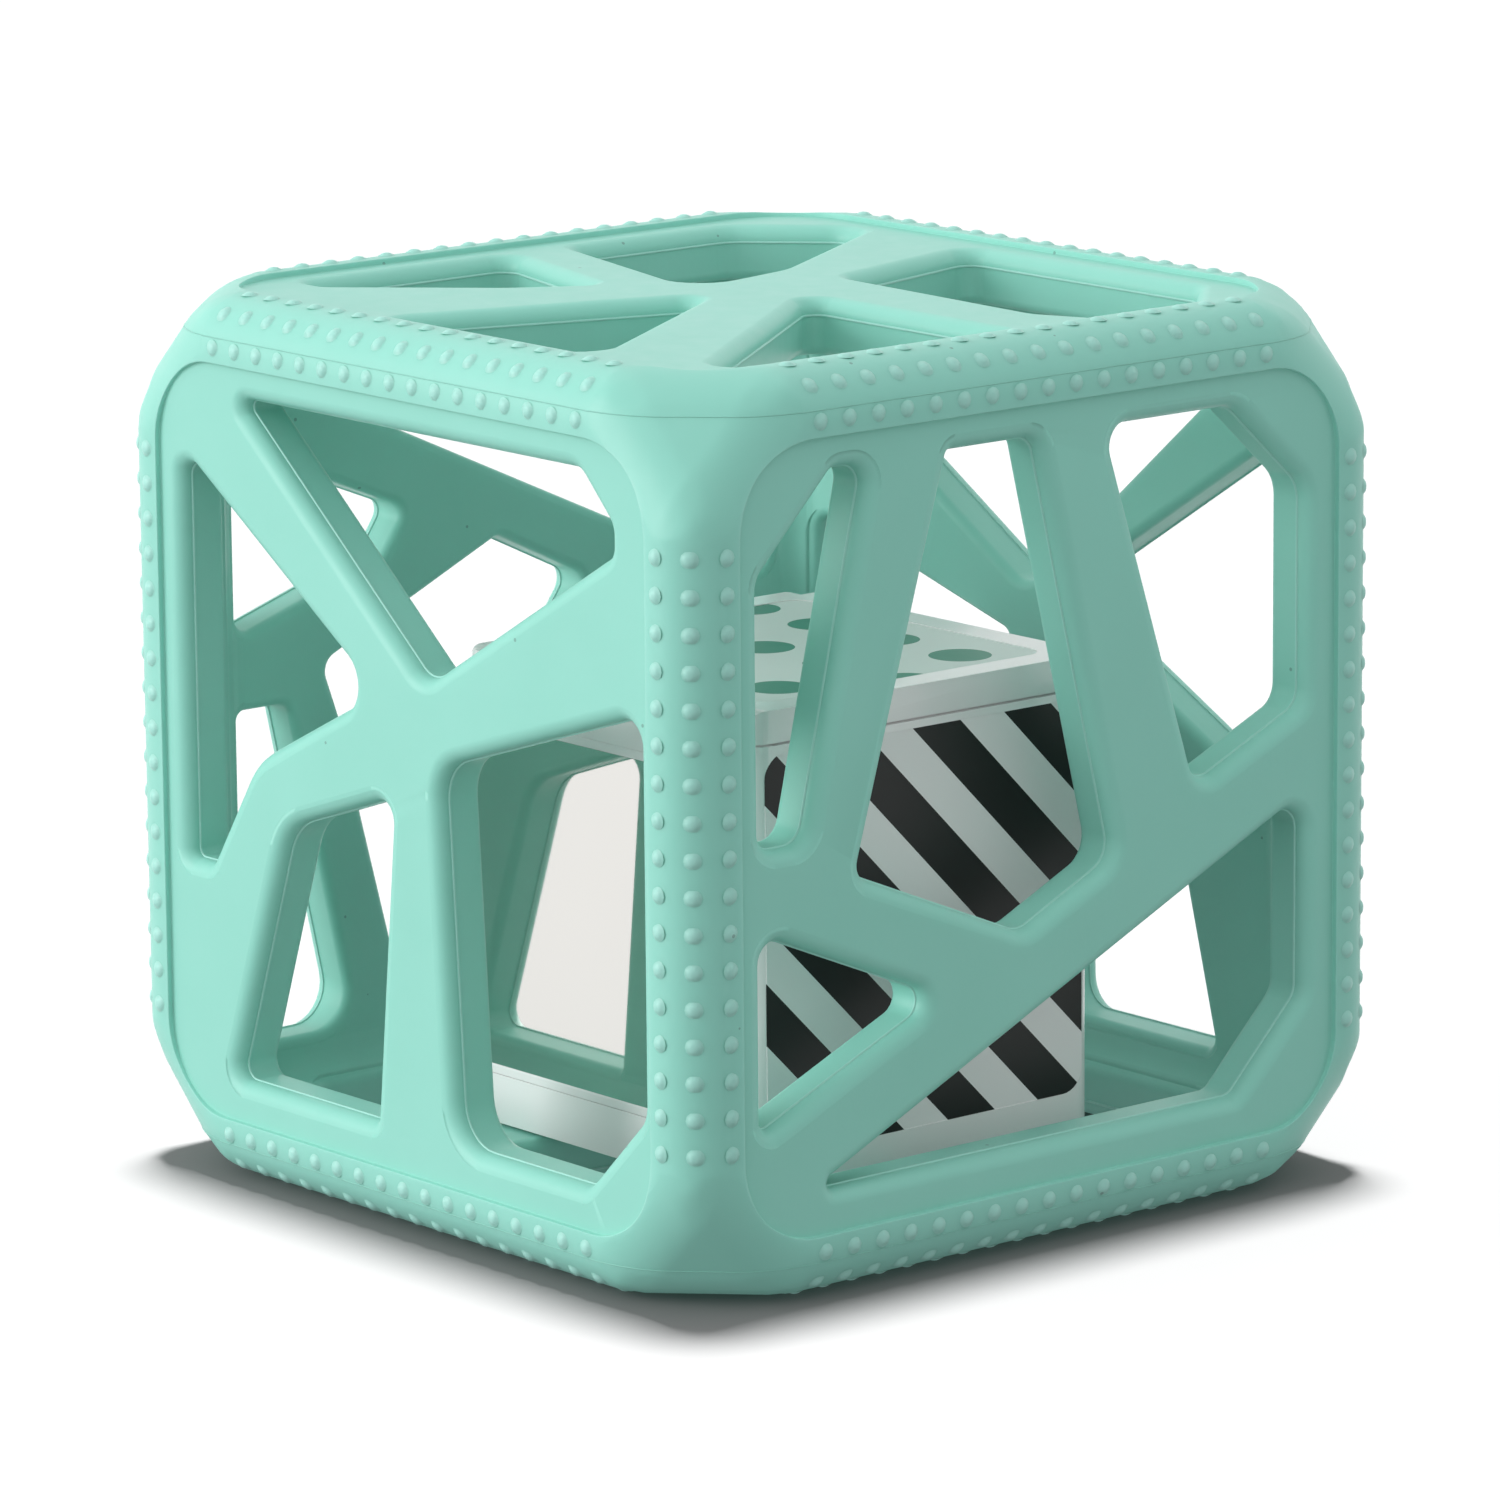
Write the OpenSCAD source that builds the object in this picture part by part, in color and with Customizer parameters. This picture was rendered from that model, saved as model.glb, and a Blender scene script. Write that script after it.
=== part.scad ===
// Teething cube: a soft open cage in one moulding, with a loose rattle box trapped inside.
// The origin is at the middle of the underside, and +Z is up.

/* [Cage] */
// Length of each side of the cage
cage_w = 90; // [86:1:96]
// Radius along the twelve edges
edge_r = 5.3; // [4:0.1:6]
// Length that the flat corner takes off each edge
corner_cut = 14.5; // [10:0.5:16]
// Thickness of the walls
wall = 6.4; // [6:0.1:7]
// Depth of the panels below the edges
recess = 0.6; // [0.3:0.1:1]
// Corner radius of the panels
panel_r = 9; // [7:0.5:10]

/* [Rattle box] */
// Width of the box, the same both ways
box_w = 45; // [41:0.5:47]
// Height of the box
box_h = 48; // [42:0.5:50]
// Radius of its upright edges
box_r = 3; // [2:0.5:5]
// Radius of its top and bottom edges
rim_r = 2.5; // [1:0.5:3]
// Thickness of its walls
box_t = 2; // [1.6:0.1:2.5]
// Height of the lid at the outside
lid_h = 3.4; // [3:0.2:6]
// Height of the lip that the lid pushes into the shell
lip_h = 2.5; // [1.5:0.5:4]
// Thickness of the lip
lip_t = 1.2; // [0.8:0.1:1.5]
// Clearance between the lip and the shell
lip_gap = 0.1; // [0.05:0.05:0.2]
// Place of the box's middle along X
box_x = 8.5; // [-12:0.5:12]
// Place of the box's middle along Y
box_y = -3.5; // [-12:0.5:12]
// Gap between the box and the floor it rests on
rest_gap = 0.3; // [0.2:0.1:0.5]

/* [Labels and mirror] */
// Width of the border beside each label
label_border = 2; // [1.5:0.5:4]
// Height of a side label's lower edge above the box's bottom
label_low = 3.6; // [3:0.1:5]
// Depth of a side label's upper edge below the lid
label_high = 0.9; // [0.5:0.1:3]
// Corner radius of the labels and the mirror
label_r = 2.5; // [1:0.5:5]
// Thickness of the labels
label_t = 0.3; // [0.2:0.1:0.5]
// Height of the mirror frame's lower edge above the box's bottom
frame_low = 5; // [3:0.2:8]
// Height of the mirror frame's upper edge above the box's bottom
frame_high = 41.8; // [34:0.2:43]
// Width of the border beside the mirror frame
frame_border = 1.4; // [1:0.1:3]
// Width of the mirror frame's own rim
frame_rim = 1; // [0.8:0.1:2]
// Thickness of the mirror and its frame
mirror_t = 1.2; // [0.8:0.1:1.4]
// Depth of a label or the mirror below the face round it
sunk = 0.1; // [0.1:0.1:0.3]

/* [Beads] */
// Diameter of the rattle beads
bead_d = 6; // [4:0.5:7]
// Gap between a bead and the floor it rests on
bead_gap = 0.3; // [0.2:0.1:0.5]

/* [Hidden] */

arc_steps = 8;
reach = 2 * cage_w;                     // longer than anything, for cutting blocks
half_w = cage_w / 2;
inner_w = cage_w - 2 * wall;
corner_tilt = atan(sqrt(2));             // from straight up to a corner's diagonal
corner_reach = (1.5 * cage_w - corner_cut) / sqrt(3);   // from the middle to a flat corner
box_z = wall + rest_gap;
shell_h = box_h - lid_h;
lid_z = box_z + shell_h;
chamber_w = box_w - 2 * box_t;
lip_w = chamber_w - 2 * lip_gap;
bead_z = box_z + box_t + bead_gap + bead_d / 2;

// Turns that take a drawing seen from outside to each side of the cage
front_turn = [90, 0, 0];
right_turn = [90, 0, 90];
back_turn = [90, 0, 180];
left_turn = [90, 0, -90];
top_turn = [0, 0, 0];
base_turn = [180, 0, 0];

// Openings of each side as seen from outside: corners about the middle, [across, up, radius]
front_openings = [
    [[-26.4, 35.3, 0.8], [27.8, 35.3, 2.5], [32.6, 30.4, 2], [32.6, 27.7, 1.5], [3.6, 10.9, 3]],
    [[-35.6, 29, 1.5], [-4.5, 8.8, 3], [-24.2, -1, 9], [-31.9, -12.8, 1], [-35.6, -12.8, 1]],
    [[-1.9, -1.1, 1.8], [-19.1, -6.9, 6], [-28.8, -34.5, 1.5], [-5.3, -34.5, 0.6]],
    [[5.3, 3, 4.5], [36.5, 12.9, 2.3], [36.5, -26, 3], [27.9, -34.5, 1.5], [7.6, -34.5, 4.5]]];
right_openings = [
    [[-35.6, 25.7, 2.5], [-26.2, 35.3, 1.5], [-21.8, 35.3, 2], [-30, -0.4, 2.4], [-35.6, -0.4, 2]],
    [[-11.8, 35.3, 0.8], [-0.6, 35.3, 2], [9.9, -7.7, 3], [-2.3, -13.3, 3], [-23.6, -4.4, 1.8]],
    [[8.4, 35.3, 2.2], [25.2, 35.3, 3], [35.1, 26.3, 4], [35.1, 4.1, 2.5], [20.6, -2.2, 2.2]],
    [[-35.6, -8.2, 2], [-12.4, -18, 1.8], [-35.6, -28, 1]],
    [[-29.4, -34.5, 0.6], [35, -5.1, 2.2], [35, -25.5, 2.5], [25.9, -34.5, 2]]];
back_openings = [
    [[35.2, 35.2, 2], [-29.2, 35.2, 1.2], [1.9, 9, 3], [35.2, 29.3, 1.5]],
    [[-8, 12.2, 2], [-35.2, 29.2, 2], [-35.2, -8, 2], [-11, 4.7, 2]],
    [[35.2, 12.8, 2], [4.3, 3.9, 1.5], [6.5, -12.5, 3], [35.2, -4.5, 2]],
    [[-3.2, -2.6, 2], [-20.8, -11.6, 2], [-27.1, -35, 1.2], [-4, -35, 3]],
    [[35.2, -12.8, 2], [6.3, -21, 2], [6.3, -35, 2.5], [28, -35, 3], [35.2, -28, 3]]];
left_openings = [
    [[31.6, 35.2, 1], [-35.2, 35.2, 3], [-35.2, 4.7, 2.5]],
    [[1.2, 14.4, 1.5], [-10.8, 8.6, 1.8], [-5, 0.5, 2], [21.5, -3.8, 2], [24.2, 4, 1.8]],
    [[35.2, 27.7, 2], [13.3, 18.9, 1.5], [16.5, 14.2, 1.2], [35.2, 8.1, 1.5]],
    [[35.2, 0.4, 1], [28.8, 0.4, 1.5], [21.3, -34.5, 4], [35.2, -34.5, 2]],
    [[20.2, -10.2, 2], [-22, -2.5, 3], [-35.2, -6, 2], [-35.2, -27, 3], [-28, -34.5, 2], [14, -34.5, 3]]];
top_openings = [
    [[-0.5, 13.6, 2.5], [30, 12.2, 4], [36.2, 15, 2], [36.2, 27, 2], [28, 35.2, 3], [-6.5, 35.2, 2]],
    [[-35.2, 6.2, 2], [-6.3, -1.4, 3], [-9.2, 12, 10], [-23.4, 35.2, 2], [-27, 35.2, 3], [-35.2, 27, 4]],
    [[-35.2, -2.2, 2], [-14, -8, 1.2], [-19, -15.6, 6], [-31.5, -28.4, 1.5], [-35.2, -28.4, 1.5]],
    [[-0.8, -4.5, 1.5], [20.2, -36.3, 3], [-10.8, -36.3, 1.5]],
    [[6.5, 2.5, 1.5], [36.3, 2.5, 1.5], [36.3, -29, 2.5], [32.3, -31, 2]]];
base_openings = [
    [[-35.2, 6, 2], [-8, 13, 2], [-12, 35.2, 2], [-28, 35.2, 3], [-35.2, 28, 3]],
    [[1, 6, 2], [35.2, 20, 2], [35.2, 28, 3], [28, 35.2, 3], [-3, 35.2, 2]],
    [[-35.2, -2.5, 2], [-7, 4, 3], [-2, -16, 2], [-25, -35.2, 2], [-35.2, -28, 3]],
    [[7, -4, 3], [35.2, 10, 2], [35.2, -28, 3], [28, -35.2, 3], [-11, -35.2, 2], [5, -18, 8]]];

// Middles of the beads on the chamber's floor, about the box's middle
bead_places = [[-12, -11], [3, -13], [13, -5], [-6, 2], [9, 9], [-11, 12]];

function unit(v) = v / norm(v);
function turned(v, a) = [v[0] * cos(a) - v[1] * sin(a), v[0] * sin(a) + v[1] * cos(a)];
function flat(v) = [v[0], v[1]];

// Points of one corner b, rounded to radius r, on the way from a to c
function corner_points(a, b, c, r) =
    r == 0 ? [b] :
    let (u = unit(a - b), w = unit(c - b),
         half = acos(u * w) / 2,
         middle = b + unit(u + w) * r / sin(half),
         first = b + u * r / tan(half) - middle,
         sweep = -sign(cross(u, w)) * (180 - 2 * half))
    [for (k = [0 : arc_steps]) middle + turned(first, sweep * k / arc_steps)];

// Points of a closed outline from its sharp corners, each [across, up, radius]
function outline(corners) =
    let (n = len(corners))
    [for (k = [0 : n - 1])
        each corner_points(flat(corners[(k + n - 1) % n]), flat(corners[k]),
                           flat(corners[(k + 1) % n]), corners[k][2])];

// Corners of a rectangle about the middle of its width, from y = low to y = high
function rectangle(w, low, high, low_r, high_r) =
    [[-w / 2, low, low_r], [w / 2, low, low_r], [w / 2, high, high_r], [-w / 2, high, high_r]];

module rounded_square(w, r) {
    polygon(outline(rectangle(w, -w / 2, w / 2, r, r)));
}

// Cage's outside about the origin, with round edges and flat corners
module cut_cube() {
    difference() {
        intersection() {
            linear_extrude(cage_w, center = true) rounded_square(cage_w, edge_r);
            rotate([90, 0, 0]) linear_extrude(cage_w, center = true) rounded_square(cage_w, edge_r);
            rotate([0, 90, 0]) linear_extrude(cage_w, center = true) rounded_square(cage_w, edge_r);
        }
        for (tilt = [corner_tilt, 180 - corner_tilt], a = [45 : 90 : 315])
            rotate([0, tilt, a])
                translate([0, 0, corner_reach + reach / 2]) cube(reach, center = true);
    }
}

// Places its children on one side of the cage, with z = 0 at the inner face of the wall
module on_side(turn) {
    translate([0, 0, half_w]) rotate(turn) translate([0, 0, inner_w / 2]) children();
}

// One side of the cage inside its panel line
module web(turn, openings) {
    color("#9fe0cf") on_side(turn)
        linear_extrude(wall - recess)
            difference() {
                rounded_square(inner_w, panel_r);
                for (opening = openings) polygon(outline(opening));
            }
}

module cage_frame() {
    color("#9fe0cf")
    difference() {
        translate([0, 0, half_w]) cut_cube();
        translate([0, 0, half_w]) cube(inner_w, center = true);
        for (turn = [front_turn, right_turn, back_turn, left_turn, top_turn, base_turn])
            on_side(turn) linear_extrude(wall + 1) rounded_square(inner_w, panel_r);
    }
}

// Block with round upright edges, whose top and bottom edges have their own radii
module soft_block(w, h, side_r, low_r, high_r) {
    intersection() {
        linear_extrude(h) rounded_square(w, side_r);
        for (turn = [0, 90])
            rotate([90, 0, turn]) linear_extrude(w, center = true)
                polygon(outline(rectangle(w, 0, h, low_r, high_r)));
    }
}

module at_box(z) {
    translate([box_x, box_y, z]) children();
}

// Ring that locates the lid inside the shell
module lip() {
    linear_extrude(lip_h + box_t) difference() {
        rounded_square(lip_w, box_r - box_t);
        rounded_square(lip_w - 2 * lip_t, 0);
    }
}

// Outline on an upright side of the shell, with its corners at their own radius
module side_shape(w, low, high, r) {
    polygon(outline(rectangle(w, low, high, r, r)));
}

module side_label_shape() {
    side_shape(box_w - 2 * label_border, label_low, shell_h - label_high, label_r);
}

module mirror_frame_shape() {
    side_shape(box_w - 2 * frame_border, frame_low, frame_high, label_r);
}

module mirror_shape() {
    side_shape(box_w - 2 * (frame_border + frame_rim), frame_low + frame_rim, frame_high - frame_rim,
               label_r - frame_rim);
}

// Slab on an upright side of the shell, from depth far to depth near below its face
module side_slab(turn, far, near) {
    rotate([90, 0, turn]) translate([0, 0, box_w / 2 - far]) linear_extrude(far - near) children();
}

module box_shell() {
    color("#f2f3f1") at_box(box_z)
    difference() {
        soft_block(box_w, shell_h, box_r, rim_r, 0);
        translate([0, 0, box_t]) linear_extrude(shell_h) rounded_square(chamber_w, box_r - box_t);
        side_slab(0, mirror_t, -1) mirror_frame_shape();
        for (turn = [90, 180, 270]) side_slab(turn, label_t + sunk, -1) side_label_shape();
    }
}

module box_lid() {
    color("#f2f3f1") at_box(lid_z) {
        difference() {
            soft_block(box_w, lid_h, box_r, 0, rim_r);
            translate([0, 0, -1]) linear_extrude(lid_h - box_t + 1) rounded_square(lip_w - 2 * lip_t, 0);
            translate([0, 0, lid_h - label_t - sunk]) linear_extrude(label_t + sunk + 1) top_label_shape();
        }
        translate([0, 0, -lip_h]) lip();
    }
}

module mirror_frame() {
    color("#e6e9e7") at_box(box_z)
    difference() {
        side_slab(0, mirror_t, 0) mirror_frame_shape();
        side_slab(0, mirror_t + 1, -1) mirror_shape();
    }
}

module mirror_panel() {
    color("#c9cfcf") at_box(box_z) side_slab(0, mirror_t, sunk) mirror_shape();
}

module side_label(turn, shade) {
    color(shade) at_box(box_z) side_slab(turn, label_t + sunk, sunk) side_label_shape();
}

module top_label_shape() {
    rounded_square(box_w - 2 * (rim_r + label_border / 2), label_r);
}

module dotted_label() {
    color("#bfe3d8") at_box(lid_z + lid_h - label_t - sunk) linear_extrude(label_t) top_label_shape();
}

module bead(number) {
    color("#e8a13c") translate([box_x, box_y, bead_z] + [each bead_places[number - 1], 0])
        sphere(d = bead_d, $fn = 48);
}

cage_frame();
web(front_turn, front_openings);  // front_web
web(right_turn, right_openings);  // right_web
web(back_turn, back_openings);  // back_web
web(left_turn, left_openings);  // left_web
web(top_turn, top_openings);  // top_web
web(base_turn, base_openings);  // base_web
box_shell();
box_lid();
mirror_frame();
mirror_panel();  // mirror
side_label(90, "#1c1f1f");  // striped_label
dotted_label();
side_label(270, "#2b2e2e");  // checked_label
side_label(180, "#3a3d3d");  // ringed_label
bead(1);  // bead_1
bead(2);  // bead_2
bead(3);  // bead_3
bead(4);  // bead_4
bead(5);  // bead_5
bead(6);  // bead_6
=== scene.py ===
import bmesh
import bpy
import math
from mathutils import Matrix, Vector


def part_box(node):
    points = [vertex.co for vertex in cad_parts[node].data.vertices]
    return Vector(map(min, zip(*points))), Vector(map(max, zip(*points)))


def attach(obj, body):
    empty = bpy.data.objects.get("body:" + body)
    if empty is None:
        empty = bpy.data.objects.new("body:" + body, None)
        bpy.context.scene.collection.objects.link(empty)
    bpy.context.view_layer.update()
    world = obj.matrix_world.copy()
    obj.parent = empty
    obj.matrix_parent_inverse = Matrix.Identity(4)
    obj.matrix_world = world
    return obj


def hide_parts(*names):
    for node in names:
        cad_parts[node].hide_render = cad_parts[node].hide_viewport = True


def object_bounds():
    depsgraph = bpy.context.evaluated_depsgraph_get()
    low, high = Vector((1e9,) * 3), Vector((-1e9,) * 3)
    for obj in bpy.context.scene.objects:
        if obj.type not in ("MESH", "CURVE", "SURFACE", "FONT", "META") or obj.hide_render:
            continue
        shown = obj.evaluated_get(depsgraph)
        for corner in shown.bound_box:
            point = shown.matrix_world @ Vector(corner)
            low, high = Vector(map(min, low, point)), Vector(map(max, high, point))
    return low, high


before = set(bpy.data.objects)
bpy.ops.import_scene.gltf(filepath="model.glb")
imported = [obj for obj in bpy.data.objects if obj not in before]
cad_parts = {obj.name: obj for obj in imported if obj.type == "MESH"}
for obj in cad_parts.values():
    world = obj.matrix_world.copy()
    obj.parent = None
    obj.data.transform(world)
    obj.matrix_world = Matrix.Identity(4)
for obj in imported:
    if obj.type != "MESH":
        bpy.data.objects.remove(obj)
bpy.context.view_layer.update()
mm = 0.001
sideNames = ("front", "right", "back", "left", "top", "base")

cutSlack = 0.001 * mm           # how exact a cut has to be
weldDistance = 0.002 * mm       # corners of loose triangles that are closer than this are one
levelSlack = 0.003 * mm         # how far a corner may lie from the level it belongs to
normalWeight = 80               # how strongly large faces lead the smooth shading


def deselectAll():
    if bpy.context.object and bpy.context.object.mode != "OBJECT":
        bpy.ops.object.mode_set(mode="OBJECT")
    bpy.ops.object.select_all(action="DESELECT")


def focusOn(*objects):
    deselectAll()
    for obj in objects:
        obj.select_set(True)
    bpy.context.view_layer.objects.active = objects[-1]
    return objects[-1]


def copyPiece(source, newName):
    obj = bpy.data.objects.new(newName, source.data.copy())
    obj.data.materials.clear()
    bpy.context.scene.collection.objects.link(obj)
    return focusOn(obj)


def copyNode(nodeName, newName):  # a node's loose triangles become one skin with whole faces
    obj = copyPiece(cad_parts[nodeName], newName)
    bpy.ops.object.mode_set(mode="EDIT")
    bpy.ops.mesh.select_all(action="SELECT")
    bpy.ops.mesh.remove_doubles(threshold=weldDistance)
    bpy.ops.mesh.dissolve_limited(angle_limit=math.radians(0.5))
    bpy.ops.object.mode_set(mode="OBJECT")
    return obj


def joinAll(objects, newName):
    focusOn(*objects)
    if len(objects) > 1:
        bpy.ops.object.join()
    joined = bpy.context.object
    joined.name = newName
    return joined


def settle(obj):
    focusOn(obj)
    bpy.ops.object.transform_apply(location=True, rotation=True, scale=True)
    return obj


def runModifier(obj, kind, **settings):
    focusOn(obj)
    modifier = obj.modifiers.new(kind.lower(), kind)
    for key, value in settings.items():
        setattr(modifier, key, value)
    bpy.ops.object.modifier_apply(modifier=modifier.name)


def carve(obj, cutter):
    runModifier(obj, "BOOLEAN", operation="DIFFERENCE", solver="EXACT", object=cutter)
    bpy.data.objects.remove(cutter)


def pick(kind, wanted):  # kind is verts, edges or faces of the mesh in edit mode
    bpy.ops.mesh.select_mode(type={"verts": "VERT", "edges": "EDGE", "faces": "FACE"}[kind])
    bpy.ops.mesh.select_all(action="DESELECT")
    mesh = bmesh.from_edit_mesh(bpy.context.edit_object.data)
    mesh.normal_update()
    for part in getattr(mesh, kind):
        if wanted(part):
            part.select_set(True)
    bmesh.update_edit_mesh(bpy.context.edit_object.data)


def smooth(obj, angle):  # edges sharper than the angle, in degrees, stay sharp
    focusOn(obj)
    bpy.ops.object.shade_smooth_by_angle(angle=math.radians(angle))
    runModifier(obj, "WEIGHTED_NORMAL", keep_sharp=True, weight=normalWeight)


# what a finished piece rides on, is made of and stands for
def belongs(obj, body, paint, nodes=()):
    obj.data.materials.clear()
    obj.data.materials.append(paint.material)
    if obj.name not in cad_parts:
        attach(obj, body)
        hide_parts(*nodes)


class Wire:  # a socket that takes part in sums
    def __init__(self, paint, socket):
        self.paint = paint
        self.socket = socket

    def maths(self, operation, *values):
        settings = {"operation": operation}
        return self.paint.node("ShaderNodeMath", settings, dict(enumerate(values)))

    def __add__(self, other):
        return self.maths("ADD", self, other)

    def __sub__(self, other):
        return self.maths("SUBTRACT", self, other)

    def __rsub__(self, other):
        return self.maths("SUBTRACT", other, self)

    def __mul__(self, other):
        return self.maths("MULTIPLY", self, other)

    def __truediv__(self, other):
        return self.maths("DIVIDE", self, other)

    def __lt__(self, other):
        return self.maths("LESS_THAN", self, other)

    def __gt__(self, other):
        return self.maths("GREATER_THAN", self, other)

    __radd__ = __add__
    __rmul__ = __mul__

    def fraction(self):
        return self.maths("FRACT", self)

    def floor(self):
        return self.maths("FLOOR", self)

    def root(self):
        return self.maths("SQRT", self)


class Paint:  # a material whose constants are set on the shader itself
    def __init__(self, name, **constants):
        self.material = bpy.data.materials.new(name)
        self.material.use_nodes = True
        self.tree = self.material.node_tree
        self.shader = self.tree.nodes["Principled BSDF"]
        self.place = self.node("ShaderNodeTexCoord", {}, {}, "Object")
        for socket, value in constants.items():
            self.shader.inputs[socket.replace("_", " ")].default_value = value

    def node(self, kind, settings, values, output=0):
        made = self.tree.nodes.new(kind)
        for key, value in settings.items():
            setattr(made, key, value)
        for socket, value in values.items():
            self.feed(made.inputs[socket], value)
        return Wire(self, made.outputs[output])

    def feed(self, socket, value):
        if isinstance(value, Wire):
            self.tree.links.new(value.socket, socket)
        else:
            socket.default_value = value

    def give(self, **values):
        for socket, value in values.items():
            self.feed(self.shader.inputs[socket.replace("_", " ")], value)
        return self

    def cloud(self, scale, detail=2.0):
        values = {"Vector": self.place, "Scale": scale, "Detail": detail}
        return self.node("ShaderNodeTexNoise", {}, values)

    def vary(self, middle, spread, cloud):  # a value that wanders evenly round its middle
        return middle + (cloud - 0.5) * spread

    def between(self, factor, first, second):  # sockets 6 and 7 and output 2 are the colours
        first, second = ((*c, 1) if isinstance(c, tuple) else c for c in (first, second))
        return self.node("ShaderNodeMix", {"data_type": "RGBA"}, {0: factor, 6: first, 7: second}, 2)

    def axes(self):
        return [self.node("ShaderNodeSeparateXYZ", {}, {0: self.place}, k) for k in range(3)]

    def grain(self, height, depth, strength):
        values = {"Height": height, "Distance": depth, "Strength": strength}
        return self.node("ShaderNodeBump", {}, values)


cage = {
    "edgeRadius": 5.3 * mm,
    "cornerCut": 14.5 * mm,      # length that a flat corner takes off each edge
    "cornerSoftness": 0.74,      # of a flat corner's round edges, as a share of the edge radius
    "roundSteps": 8,
    "panelRadius": 9 * mm,
    "pocketRise": 4 * mm,        # how far a panel's cutter stands above the panel
    "stepBlend": 0.27 * mm,      # softness of the step round each panel
    "stepSteps": 3,
    "stepAngle": 30,             # degrees, edges sharper than this belong to the step
    "cavityRadius": 4 * mm,
    "rimOutside": 1.6 * mm,      # round rims of the openings
    "rimInside": 1.1 * mm,
    "rimSteps": 6,
    "cutOutside": 5 * mm,        # how far an opening's cutter passes the panel
    "cutInside": 8 * mm,         # and how far it reaches into the cavity
    "ridgeDepth": 1.75 * mm,     # of the fine ridge in each opening, below the panel
    "ridgeRadius": 0.15 * mm,
    "partingHeight": 41.2 * mm,  # of the mould's parting lines, from the middle
    "partingRadius": 0.06 * mm,
    "smoothAngle": 35,
}
silicone = {
    "paleColour": (0.294, 0.672, 0.575),
    "deepColour": (0.265, 0.632, 0.532),
    "highlightPaleColour": (0.378, 0.770, 0.675),   # painted highlight: the bumps and ridges are painted paler to stand in for the light they catch, in place of their shading
    "highlightDeepColour": (0.336, 0.730, 0.630),
    "mottleScale": 65.0,
    "glow": 0.22,                # share of the light that goes under the surface
    "glowDepth": 3 * mm,
    "glowTint": (0.8, 1.0, 0.95),
    "dustColour": (0.10, 0.16, 0.14),
    "dustScale": 260.0,
    "dustSize": 0.05,
    "dustRarity": 0.7,           # share of the places for a speck that stay clean
    "dustStrength": 0.5,
    "roughness": 0.4,
    "roughnessSpread": 0.16,
    "roughnessScale": 400.0,
    "fineGrain": 1400.0,
    "coarseGrain": 180.0,
    "coarseShare": 3.0,
    "grainDepth": 0.03 * mm,
    "grainStrength": 0.35,
}
cageLow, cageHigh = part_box("cage_frame")
cageWidth = cageHigh.x - cageLow.x
halfCage = cageWidth / 2
cageMiddle = Vector((0, 0, cageLow.z + halfCage))
rightLow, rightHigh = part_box("right_web")
panelLevel = rightHigh.x        # from the middle to a panel's face
innerLevel = rightLow.x         # from the middle to the inside of a wall
panelHalf = rightHigh.y


def paintSilicone(name, deepColour, paleColour):
    paint = Paint(name, Subsurface_Weight=silicone["glow"], Subsurface_Scale=silicone["glowDepth"],
                  Subsurface_Radius=silicone["glowTint"], IOR=1.41, Specular_IOR_Level=0.42)
    mottle = paint.cloud(silicone["mottleScale"], 3.0)
    colour = paint.between(mottle, deepColour, paleColour)
    specks = {"Vector": paint.place, "Scale": silicone["dustScale"]}
    distance = paint.node("ShaderNodeTexVoronoi", {}, specks)
    lot = paint.node("ShaderNodeTexVoronoi", {}, specks, 1)
    chance = paint.node("ShaderNodeSeparateXYZ", {}, {0: lot})
    found = (distance < silicone["dustSize"]) * (chance > silicone["dustRarity"])
    dust = found * silicone["dustStrength"]
    coarse = paint.cloud(silicone["coarseGrain"]) * silicone["coarseShare"]
    skin = paint.cloud(silicone["fineGrain"], 3.0) + coarse
    return paint.give(Base_Color=paint.between(dust, colour, silicone["dustColour"]),
                      Roughness=paint.vary(silicone["roughness"], silicone["roughnessSpread"],
                                           paint.cloud(silicone["roughnessScale"])),
                      Normal=paint.grain(skin, silicone["grainDepth"], silicone["grainStrength"]))


def sideFrame(side):  # across, up and outwards for one side, as columns
    out = {"front": (0, -1, 0), "right": (1, 0, 0), "back": (0, 1, 0),
           "left": (-1, 0, 0), "top": (0, 0, 1), "base": (0, 0, -1)}[side]
    across = {"front": (1, 0, 0), "right": (0, 1, 0), "back": (-1, 0, 0),
              "left": (0, -1, 0), "top": (1, 0, 0), "base": (1, 0, 0)}[side]
    out, across = Vector(out), Vector(across)
    up = out.cross(across)
    turn = Matrix((across, up, out)).transposed().to_4x4()
    return Matrix.Translation(cageMiddle) @ turn


def isFlatSide(face):  # one of the six square sides, which face along an axis
    return max(abs(c) for c in face.normal) > 0.99


def makeSkin():  # the cage's outside before its panels are sunk
    bpy.ops.mesh.primitive_cube_add(size=cageWidth, location=cageMiddle)
    skin = settle(bpy.context.object)
    skin.name = "cage"
    reach = (1.5 * cageWidth - cage["cornerCut"]) / math.sqrt(3)  # from the middle to a flat corner
    bpy.ops.object.mode_set(mode="EDIT")
    for corner in [(x, y, z) for x in (-1, 1) for y in (-1, 1) for z in (-1, 1)]:
        out = Vector(corner).normalized()
        bpy.ops.mesh.select_all(action="SELECT")
        bpy.ops.mesh.bisect(plane_co=cageMiddle + out * reach, plane_no=out, use_fill=True,
                            clear_outer=True, threshold=cutSlack)
    mesh = bmesh.from_edit_mesh(skin.data)
    mesh.normal_update()
    weight = mesh.edges.layers.float.new("bevel_weight_edge")
    for edge in mesh.edges:
        isLong = all(isFlatSide(f) for f in edge.link_faces)
        edge[weight] = 1 if isLong else cage["cornerSoftness"]
    bmesh.update_edit_mesh(skin.data)
    bpy.ops.object.mode_set(mode="OBJECT")
    runModifier(skin, "BEVEL", width=cage["edgeRadius"], segments=cage["roundSteps"],
                profile=0.5, limit_method="WEIGHT", use_clamp_overlap=False)
    return skin


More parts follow.
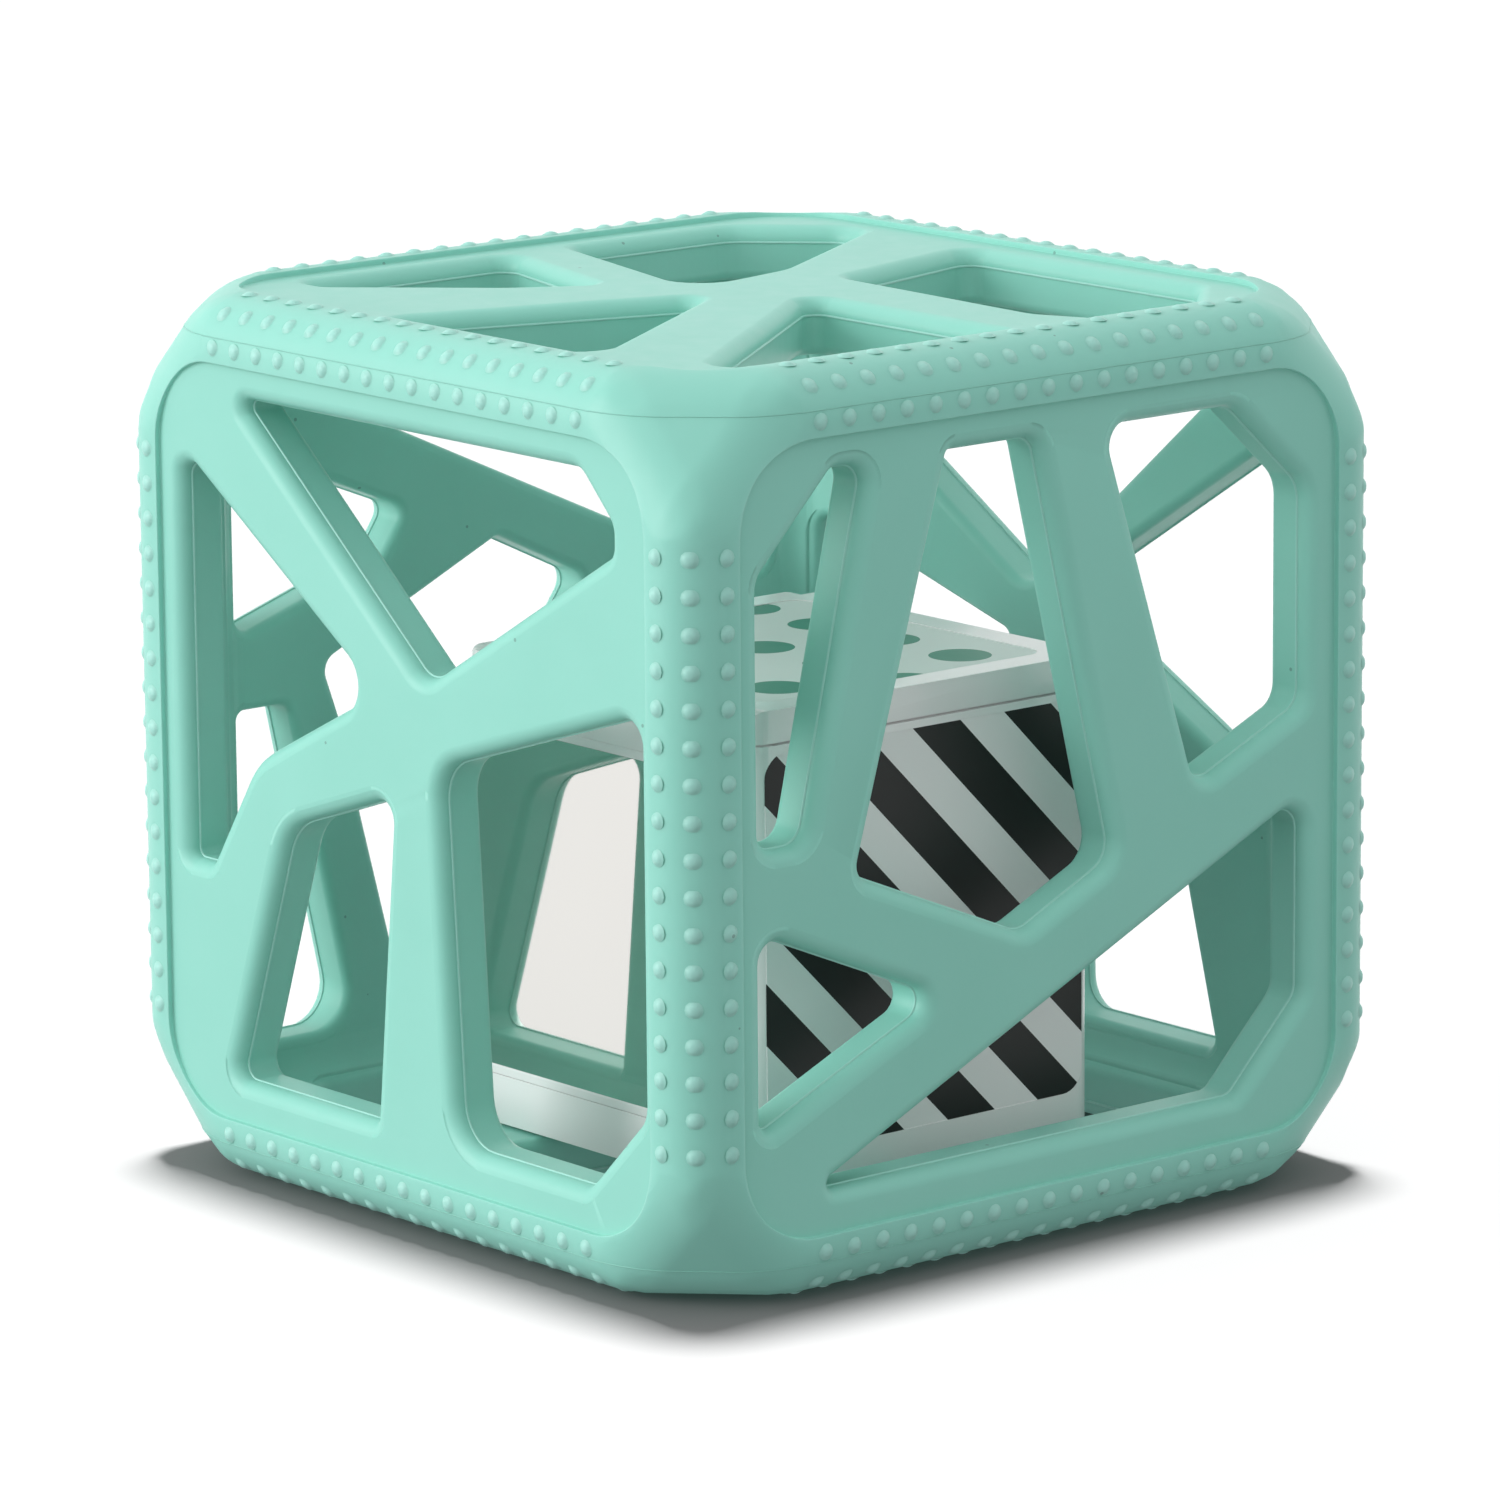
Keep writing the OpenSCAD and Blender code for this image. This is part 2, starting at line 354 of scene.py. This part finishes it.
def makePockets():  # the cutters that sink the six panels
    pockets = []
    for side in sideNames:
        bpy.ops.mesh.primitive_plane_add(size=2 * panelHalf)
        pocket = bpy.context.object
        bpy.ops.object.mode_set(mode="EDIT")
        bpy.ops.mesh.select_all(action="SELECT")
        bpy.ops.mesh.bevel(offset=cage["panelRadius"], segments=2 * cage["roundSteps"],
                           affect="VERTICES")
        bpy.ops.mesh.select_all(action="SELECT")
        bpy.ops.transform.translate(value=(0, 0, panelLevel))
        rise = (0, 0, cage["pocketRise"])
        bpy.ops.mesh.extrude_region_move(TRANSFORM_OT_translate={"value": rise})
        bpy.ops.mesh.select_all(action="SELECT")
        bpy.ops.mesh.normals_make_consistent(inside=False)
        bpy.ops.object.mode_set(mode="OBJECT")
        pocket.matrix_world = sideFrame(side)
        pockets.append(settle(pocket))
    return joinAll(pockets, "pockets")


def makeCavity():  # the cutter for the room that the rattle box tumbles in
    bpy.ops.mesh.primitive_cube_add(size=2 * innerLevel, location=cageMiddle)
    cavity = settle(bpy.context.object)
    bpy.ops.object.mode_set(mode="EDIT")
    bpy.ops.mesh.select_all(action="SELECT")
    bpy.ops.mesh.bevel(offset=cage["cavityRadius"], segments=cage["roundSteps"], profile=0.5,
                       affect="EDGES", clamp_overlap=False)
    bpy.ops.object.mode_set(mode="OBJECT")
    return cavity


def onPanelOutline(point):  # a point in a side's own directions
    bendSlack, straightSlack = 0.1 * mm, 0.02 * mm
    u, v = abs(point.x), abs(point.y)
    bend = panelHalf - cage["panelRadius"]
    if u > bend and v > bend:
        return math.hypot(u - bend, v - bend) > cage["panelRadius"] - bendSlack
    return max(u, v) > panelHalf - straightSlack


# the walls of one side's openings, as open tubes in the side's own directions
def openingWalls(side):
    walls = copyNode(side + "_web", side + "_walls")
    walls.data.transform(sideFrame(side).inverted())
    bpy.ops.object.mode_set(mode="EDIT")
    pick("faces", lambda f: abs(f.normal.z) > 0.5 or onPanelOutline(f.calc_center_median()))
    bpy.ops.mesh.delete(type="FACE")
    bpy.ops.object.mode_set(mode="OBJECT")
    return walls


def cutLine(source, point):  # where the level plane through a point cuts a skin
    line = copyPiece(source, "line")
    bpy.ops.object.mode_set(mode="EDIT")
    bpy.ops.mesh.select_all(action="SELECT")
    bpy.ops.mesh.bisect(plane_co=point, plane_no=(0, 0, 1), threshold=cutSlack,
                        clear_inner=True, clear_outer=True)
    bpy.ops.object.mode_set(mode="OBJECT")
    return line


def thicken(lines, radius, newName):  # turns lines into fine round ridges
    ridge = joinAll(lines, newName)
    bpy.ops.object.convert(target="CURVE")
    ridge = bpy.context.object
    ridge.data.bevel_depth = radius
    ridge.data.bevel_resolution = 1
    bpy.ops.object.convert(target="MESH")
    ridge = bpy.context.object
    ridge.name = newName
    return ridge


def rimLevels(level, radius, inwards):  # heights on a round rim, and how wide it is there
    angles = [math.pi / 2 * k / cage["rimSteps"] for k in range(cage["rimSteps"] + 1)]
    return [(level + inwards * radius * (1 - math.sin(a)), radius * (1 - math.cos(a)))
            for a in angles]


def flare(walls):  # opens both ends of the tubes into round rims
    levels = rimLevels(panelLevel, cage["rimOutside"], -1)
    levels += rimLevels(innerLevel, cage["rimInside"], 1)
    focusOn(walls)
    bpy.ops.object.mode_set(mode="EDIT")
    for height, spread in levels:
        if panelLevel - cutSlack > height > innerLevel + cutSlack:
            bpy.ops.mesh.select_all(action="SELECT")
            bpy.ops.mesh.bisect(plane_co=(0, 0, height), plane_no=(0, 0, 1), threshold=cutSlack)
    mesh = bmesh.from_edit_mesh(walls.data)
    mesh.normal_update()
    shifts = []
    for vert in mesh.verts:
        widths = [s for h, s in levels if abs(h - vert.co.z) < levelSlack]
        if widths:
            out = Vector((vert.normal.x, vert.normal.y, 0)).normalized()
            shifts.append((vert, -out * max(widths) * vert.calc_shell_factor()))
    for vert, shift in shifts:
        vert.co += shift
    bmesh.update_edit_mesh(walls.data)
    for level, reach in ((panelLevel, cage["cutOutside"]), (innerLevel, -cage["cutInside"])):
        pick("edges", lambda e: e.is_boundary
             and all(abs(v.co.z - level) < levelSlack for v in e.verts))
        bpy.ops.mesh.extrude_edges_move(TRANSFORM_OT_translate={"value": (0, 0, reach)})
    bpy.ops.mesh.select_all(action="SELECT")
    bpy.ops.mesh.fill_holes(sides=0)
    bpy.ops.mesh.select_all(action="SELECT")
    bpy.ops.mesh.normals_make_consistent(inside=False)
    bpy.ops.object.mode_set(mode="OBJECT")


def softenStep(body):
    sharp = math.radians(cage["stepAngle"])
    focusOn(body)
    bpy.ops.object.mode_set(mode="EDIT")
    pick("edges", lambda e: len(e.link_faces) == 2 and e.calc_face_angle() > sharp)
    bpy.ops.mesh.bevel(offset=cage["stepBlend"], segments=cage["stepSteps"], affect="EDGES",
                       clamp_overlap=True)
    bpy.ops.object.mode_set(mode="OBJECT")


def makeCage():
    body = makeSkin()
    rise = Vector((0, 0, cage["partingHeight"]))
    partings = [cutLine(body, cageMiddle + rise), cutLine(body, cageMiddle - rise)]
    carve(body, makePockets())
    softenStep(body)
    carve(body, makeCavity())
    cutters, rims = [], []
    for side in sideNames:
        walls = openingWalls(side)
        rim = cutLine(walls, (0, 0, panelLevel - cage["ridgeDepth"]))
        flare(walls)
        for piece, group in ((walls, cutters), (rim, rims)):
            piece.data.transform(sideFrame(side))
            group.append(piece)
    carve(body, joinAll(cutters, "cutters"))
    fine = [thicken(rims, cage["ridgeRadius"], "openingRidges"),
            thicken(partings, cage["partingRadius"], "partingLines")]
    return body, fine


clean = paintSilicone("silicone", silicone["deepColour"], silicone["paleColour"])
body, fineLines = makeCage()
# painted highlight: a paler silicone for the bumps and ridges, standing in for the light they catch
paintedHighlight = paintSilicone("painted_highlight_silicone", silicone["highlightDeepColour"],
                       silicone["highlightPaleColour"])
# the ridges wear the paler silicone, a painted highlight; the body and parting lines wear the plain
# one
for piece, paint in zip([body, *fineLines], [clean, paintedHighlight, clean]):
    smooth(piece, cage["smoothAngle"])
    belongs(piece, "cage", paint)
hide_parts("cage_frame", *[side + "_web" for side in sideNames])
print("cage", len(body.data.polygons), "faces")

bumps = {
    "inRow": 17,
    "pitch": 3.58 * mm,
    "sideRow": 4.9 * mm,        # from the sharp edge to a row on each face
    "sides": 12,
    "radii": [0.92, 0.78, 0.66, 0.53, 0.35, 0.15],      # mm, from the foot to the crown
    "heights": [-0.06, 0.01, 0.09, 0.18, 0.25, 0.28],
    "smoothAngle": 60,
}


def makeRow():  # one row of bumps along X, standing on z = 0
    radii = [r * mm for r in bumps["radii"]]
    heights = [h * mm for h in bumps["heights"]]
    start = (-(bumps["inRow"] - 1) / 2 * bumps["pitch"], 0, heights[0])
    bpy.ops.mesh.primitive_circle_add(vertices=bumps["sides"], radius=radii[0],
                                      fill_type="NGON", location=start)
    row = settle(bpy.context.object)
    bpy.ops.object.mode_set(mode="EDIT")
    bpy.ops.mesh.select_all(action="SELECT")
    for k in range(1, len(radii)):
        rise = (0, 0, heights[k] - heights[k - 1])
        shrink = radii[k] / radii[k - 1]
        bpy.ops.mesh.extrude_region_move(TRANSFORM_OT_translate={"value": rise})
        bpy.ops.transform.resize(value=(shrink, shrink, 1),
                                 center_override=(start[0], 0, heights[k]))
    bpy.ops.object.mode_set(mode="OBJECT")
    runModifier(row, "ARRAY", count=bumps["inRow"], use_relative_offset=False,
                use_constant_offset=True, constant_offset_displace=(bumps["pitch"], 0, 0))
    return row


def makeBumps():  # three rows along each of the twelve edges
    row = makeRow()
    radius = cage["edgeRadius"]
    middle = halfCage - radius + radius / math.sqrt(2)
    side = halfCage - bumps["sideRow"]
    placesAndTilts = [((middle, middle), (1, 1)),
                      ((side, halfCage), (0, 1)),
                      ((halfCage, side), (1, 0))]
    rows = []
    for axis in range(3):
        first, second = (axis + 1) % 3, (axis + 2) % 3
        for u, v in [(-1, -1), (-1, 1), (1, -1), (1, 1)]:
            for place, tilt in placesAndTilts:
                along, spot, out = (Vector((0, 0, 0)) for k in range(3))
                along[axis] = 1
                spot[first], spot[second] = u * place[0], v * place[1]
                out[first], out[second] = u * tilt[0], v * tilt[1]
                out.normalize()
                copy = copyPiece(row, "row")
                turn = Matrix((along, out.cross(along), out)).transposed().to_4x4()
                copy.data.transform(Matrix.Translation(cageMiddle + spot) @ turn)
                rows.append(copy)
    bpy.data.objects.remove(row)
    return joinAll(rows, "edgeBumps")


edgeBumps = makeBumps()
smooth(edgeBumps, bumps["smoothAngle"])
# the bumps wear the paler silicone, a painted highlight
belongs(edgeBumps, "cage", paintedHighlight)
print("edge bumps", len(edgeBumps.data.polygons), "faces")

box = {
    "cornerRadius": 3 * mm,
    "cornerSteps": 8,
    "seamWidth": 0.26 * mm,     # of the groove between the shell and the lid
    "seamDepth": 0.7 * mm,
    "edgeSoftness": 0.15 * mm,
    "edgeSteps": 2,
    "edgeAngle": 40,            # degrees, edges sharper than this are softened
    "smoothAngle": 35,
    "plasticColour": (0.92, 0.90, 0.905),
    "plasticRoughness": 0.24,
    "mirrorColour": (0.76, 0.75, 0.72),
    "mirrorRoughness": 0.015,
    "mirrorSmear": 0.03,        # what a smear adds to the roughness
}
labels = {
    "blackInk": (0.014, 0.014, 0.014),
    "stripePitch": 11.9 * mm,   # of the slanting stripes, measured straight up
    "stripeStart": 45.2 * mm,
    "stripeShare": 0.52,
    "topColour": (0.74, 0.82, 0.79),
    "dotColour": (0.045, 0.27, 0.19),
    "dotSize": 6.3 * mm,
    "dotPitch": 10.8 * mm,
    "dotRows": 11.8 * mm,
    "dotShift": 2.1 * mm,
    "checkSize": 6.4 * mm,
    "ringPitch": 7.2 * mm,
    "roughness": 0.42,
    "roughnessSpread": 0.1,
}


def paintPlastic(name, colour, roughness):
    paint = Paint(name, Coat_Weight=0.25, Coat_Roughness=0.08)
    dimmed = tuple(0.97 * c for c in colour)
    return paint.give(Base_Color=paint.between(paint.cloud(45.0), dimmed, colour),
                      Roughness=paint.vary(roughness, 0.12, paint.cloud(160.0, 4.0)),
                      Normal=paint.grain(paint.cloud(90.0), 0.02 * mm, 0.15))


def paintPrint(name, pattern, ground, ink):  # pattern gives 1 where there is ink
    paint = Paint(name, Specular_IOR_Level=0.3)
    dimmed = tuple(0.96 * c for c in ground)
    worn = paint.between(paint.cloud(60.0, 3.0), dimmed, ground)
    return paint.give(Base_Color=paint.between(pattern(paint), worn, ink),
                      Roughness=paint.vary(labels["roughness"], labels["roughnessSpread"],
                                           paint.cloud(220.0, 3.0)),
                      Normal=paint.grain(paint.cloud(110.0), 0.02 * mm, 0.12))


def stripes(paint):
    x, y, z = paint.axes()
    turns = (y + z - labels["stripeStart"]) / labels["stripePitch"]
    return turns.fraction() < labels["stripeShare"]


def dots(paint):  # two square grids of dots, one in the gaps of the other
    x, y, z = paint.axes()
    columnPitch, rowPitch = labels["dotPitch"], 2 * labels["dotRows"]
    across = (x - boxMiddle.x + labels["dotShift"]) / columnPitch
    up = (y - boxMiddle.y) / rowPitch

    def grid(shift):
        dx = ((across + shift).fraction() - 0.5) * columnPitch
        dy = ((up + shift).fraction() - 0.5) * rowPitch
        return dx * dx + dy * dy < (labels["dotSize"] / 2) ** 2

    return grid(0) + grid(0.5)


def checks(paint):
    x, y, z = paint.axes()
    size = labels["checkSize"]
    steps = ((y - boxMiddle.y) / size).floor() + ((z - boxMiddle.z) / size).floor()
    return (steps * 0.5).fraction() > 0.25  # every second square


def rings(paint):
    x, y, z = paint.axes()
    across, up = x - boxMiddle.x, z - boxMiddle.z
    return ((across * across + up * up).root() / labels["ringPitch"]).fraction() > 0.5


def makeSeam():  # a thin flat ring that cuts the groove between the shell and the lid
    reach = 1 * mm
    place = (boxMiddle.x, boxMiddle.y, boxHigh.z - box["seamWidth"] / 2)
    bpy.ops.mesh.primitive_plane_add(size=boxHigh.x - boxLow.x + 2 * reach, location=place)
    ring = settle(bpy.context.object)
    bpy.ops.object.mode_set(mode="EDIT")
    bpy.ops.mesh.select_all(action="SELECT")
    bpy.ops.mesh.bevel(offset=box["cornerRadius"] + reach, segments=box["cornerSteps"],
                       affect="VERTICES")
    bpy.ops.mesh.select_all(action="SELECT")
    bpy.ops.mesh.inset(thickness=reach + box["seamDepth"])
    bpy.ops.mesh.delete(type="FACE")
    bpy.ops.mesh.select_all(action="SELECT")
    rise = (0, 0, box["seamWidth"])
    bpy.ops.mesh.extrude_region_move(TRANSFORM_OT_translate={"value": rise})
    bpy.ops.mesh.select_all(action="SELECT")
    bpy.ops.mesh.normals_make_consistent(inside=False)
    bpy.ops.object.mode_set(mode="OBJECT")
    return ring


def makeMoulding(nodeName, newName, hasSeam):  # a moulded copy of a node, with soft edges
    piece = copyNode(nodeName, newName)
    runModifier(piece, "BEVEL", width=box["edgeSoftness"], segments=box["edgeSteps"],
                limit_method="ANGLE", angle_limit=math.radians(box["edgeAngle"]),
                use_clamp_overlap=True)
    if hasSeam:
        carve(piece, makeSeam())
    smooth(piece, box["smoothAngle"])
    belongs(piece, "rattle_box", plastic, [nodeName])


def paintMirror():
    paint = Paint("mirror", Metallic=1.0)
    smear = paint.cloud(55.0, 4.0)
    dimmed = tuple(0.97 * c for c in box["mirrorColour"])
    return paint.give(Base_Color=paint.between(smear, dimmed, box["mirrorColour"]),
                      Roughness=box["mirrorRoughness"] + smear * box["mirrorSmear"])


boxLow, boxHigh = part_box("box_shell")
boxMiddle = (boxLow + boxHigh) / 2
plastic = paintPlastic("white_plastic", box["plasticColour"], box["plasticRoughness"])
makeMoulding("box_shell", "shell", True)
makeMoulding("box_lid", "lid", True)
makeMoulding("mirror_frame", "mirrorRim", False)
belongs(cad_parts["mirror"], "rattle_box", paintMirror())
prints = {
    "striped_label": (stripes, box["plasticColour"], labels["blackInk"]),
    "dotted_label": (dots, labels["topColour"], labels["dotColour"]),
    "checked_label": (checks, box["plasticColour"], labels["blackInk"]),
    "ringed_label": (rings, box["plasticColour"], labels["blackInk"]),
}
for nodeName, (pattern, ground, ink) in prints.items():
    inked = paintPrint(nodeName, pattern, ground, ink)
    belongs(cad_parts[nodeName], "rattle_box", inked)
print("rattle box and labels")

beads = {
    "count": 6,
    "sides": 32,
    "seamWidth": 0.12 * mm,     # of the moulding seam round a bead
    "seamSteps": 2,
    "seamRise": 1.012,          # how much wider the bead is at its seam
    "smoothAngle": 40,
    "colour": (0.78, 0.36, 0.06),
    "roughness": 0.22,
}


def makeBead(number, paint):
    nodeName = f"bead_{number}"
    low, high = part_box(nodeName)
    middle = (low + high) / 2

    def atSeam(vert):
        return abs(vert.co.z - middle.z) < 0.01 * mm

    bpy.ops.mesh.primitive_uv_sphere_add(segments=beads["sides"], ring_count=beads["sides"] // 2,
                                         radius=(high.z - low.z) / 2, location=middle)
    bead = settle(bpy.context.object)
    bead.name = f"rattleBead{number}"
    bpy.ops.object.mode_set(mode="EDIT")
    pick("edges", lambda e: all(atSeam(v) for v in e.verts))
    bpy.ops.mesh.bevel(offset=beads["seamWidth"], segments=beads["seamSteps"], affect="EDGES")
    pick("verts", atSeam)
    rise = (beads["seamRise"], beads["seamRise"], 1)
    bpy.ops.transform.resize(value=rise, center_override=middle)
    bpy.ops.object.mode_set(mode="OBJECT")
    smooth(bead, beads["smoothAngle"])
    belongs(bead, f"rattle_bead_{number}", paint, [nodeName])


beadPlastic = paintPlastic("bead_plastic", beads["colour"], beads["roughness"])
for number in range(1, beads["count"] + 1):
    makeBead(number, beadPlastic)
print("beads")

studio = {
    "skyStrength": 1.0,
    "floorSize": 12,
    "floorColour": (0.2, 0.2, 0.2),
    "bounceSize": 4,
    "bounceStrength": 0.3,      # light that comes back from below
    "flagSize": 1.2,
    "flagPlace": (0.45, 0.1, 0.35),
    "flagStrength": 0.68,       # of the dim card that shades the right side
    "keyPlace": (-0.45, -0.85, 0.28),
    "keySize": 0.6,
    "keyPower": 6.2,
    "sunStrength": 13.5,        # shines on the floor alone, nearly straight down
    "sunSoftness": 8,
    "sunFrom": (-0.06, 0.05, 1.0),
}
cameraView = {
    "azimuth": 50.119,
    "elevation": 12.01,
    "roll": -0.487,
    "distance": 0.829588,
    "lens": 197.73,
    "sensor": 36,
    "lift": -2.327 * mm,
}


def facing(place, direction):  # a lamp or a card whose Z axis points along the direction
    turn = Vector(direction).to_track_quat("Z", "Y").to_matrix().to_4x4()
    return Matrix.Translation(place) @ turn


def makeCamera():
    azimuth = math.radians(cameraView["azimuth"])
    elevation = math.radians(cameraView["elevation"])
    roll = math.radians(cameraView["roll"])
    back = Vector((math.sin(azimuth) * math.cos(elevation),
                   -math.cos(azimuth) * math.cos(elevation), math.sin(elevation)))
    level = Vector((math.cos(azimuth), math.sin(azimuth), 0))
    upright = back.cross(level)
    right = level * math.cos(roll) + upright * math.sin(roll)
    up = upright * math.cos(roll) - level * math.sin(roll)
    data = bpy.data.cameras.new("camera")
    data.lens, data.sensor_width = cameraView["lens"], cameraView["sensor"]
    data.clip_start, data.clip_end = 0.01, 10
    camera = bpy.data.objects.new("camera", data)
    bpy.context.scene.collection.objects.link(camera)
    place = cageMiddle + up * cameraView["lift"] + back * cameraView["distance"]
    turn = Matrix((right, up, back)).transposed().to_4x4()
    camera.matrix_world = Matrix.Translation(place) @ turn
    bpy.context.scene.camera = camera


# a card that only lights or shades, and isn't seen
def makeCard(name, size, place, direction, strength):
    bpy.ops.mesh.primitive_plane_add(size=size)
    card = bpy.context.object
    card.name = name
    card.matrix_world = facing(place, direction)
    paint = Paint(name, Base_Color=(0, 0, 0, 1), Emission_Color=(1, 1, 1, 1),
                  Emission_Strength=strength, Specular_IOR_Level=0.0)
    card.data.materials.append(paint.material)
    card.visible_camera = card.visible_glossy = False
    card.visible_transmission = card.visible_shadow = False


def makeSky():
    world = bpy.data.worlds.new("studio")
    bpy.context.scene.world = world
    world.use_nodes = True
    sky = world.node_tree.nodes["Background"]
    sky.inputs["Color"].default_value = (1, 1, 1, 1)
    sky.inputs["Strength"].default_value = studio["skyStrength"]


def makeFloor(height):
    bpy.ops.mesh.primitive_plane_add(size=studio["floorSize"], location=(0, 0, height))
    floor = settle(bpy.context.object)
    floor.name = "floor"
    paint = Paint("floor_card")
    colour = {"Color": (*studio["floorColour"], 1)}
    matt = paint.node("ShaderNodeBsdfDiffuse", {}, colour)
    paint.feed(paint.tree.nodes["Material Output"].inputs["Surface"], matt)
    floor.data.materials.append(paint.material)
    floor.visible_diffuse = False
    return floor


def makeLamp(name, kind, power):
    lamp = bpy.data.objects.new(name, bpy.data.lights.new(name, kind))
    lamp.data.energy = power
    bpy.context.scene.collection.objects.link(lamp)
    return lamp


def makeStudio():
    makeSky()
    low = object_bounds()[0].z
    floor = makeFloor(low)
    makeCard("bounceCard", studio["bounceSize"], (0, 0, low - 1 * mm), (0, 0, 1),
             studio["bounceStrength"])
    makeCard("flagCard", studio["flagSize"], studio["flagPlace"], (-1, 0, 0),
             studio["flagStrength"])
    key = makeLamp("key", "AREA", studio["keyPower"])
    key.data.size = studio["keySize"]
    place = Vector(studio["keyPlace"])
    key.matrix_world = facing(place, place - cageMiddle)
    sun = makeLamp("floorSun", "SUN", studio["sunStrength"])
    sun.data.angle = math.radians(studio["sunSoftness"])
    sun.matrix_world = facing((0, 0, 0), studio["sunFrom"])
    lit = bpy.data.collections.new("litBySun")
    lit.objects.link(floor)
    sun.light_linking.receiver_collection = lit
    bpy.context.scene.view_settings.view_transform = "Standard"


makeCamera()
makeStudio()
print("camera, studio and sizes")
